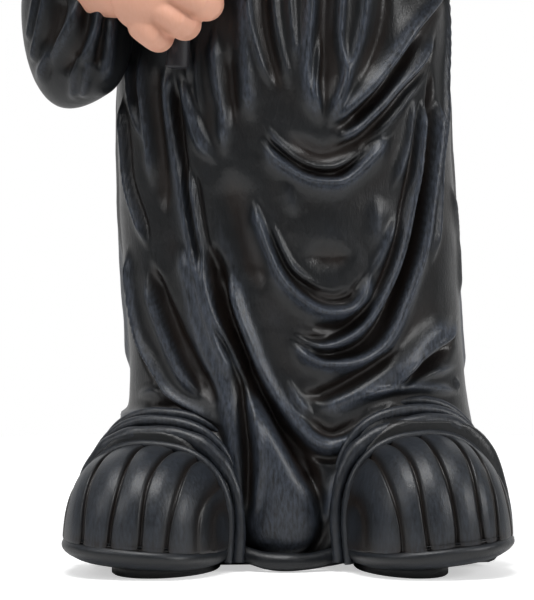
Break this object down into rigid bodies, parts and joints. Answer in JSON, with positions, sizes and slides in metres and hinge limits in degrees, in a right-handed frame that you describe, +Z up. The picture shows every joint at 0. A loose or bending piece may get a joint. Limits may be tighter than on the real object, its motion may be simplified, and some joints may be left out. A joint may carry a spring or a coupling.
{
  "type": "resin figurine",
  "caption": "Standing robed and hooded resin figurine with draped folds, wide sleeves and big ribbed boots, resting on its flat underside.",
  "frame": {"origin": "on the flat underside, below the figure's trunk", "axes": "+Z up, the figure faces -Y, +X to the viewer's right"},
  "size_m": [0.1469, 0.1122, 0.3],
  "materials": {
    "painted_resin": "hand-painted cast resin: satin black with dusty blue-grey rubbed over the crests, a brown wash in the hollows, and matt skin paint on the hands and face"
  },
  "bodies": {
    "root": {"figurine": "painted_resin"}
  },
  "joints": []
}
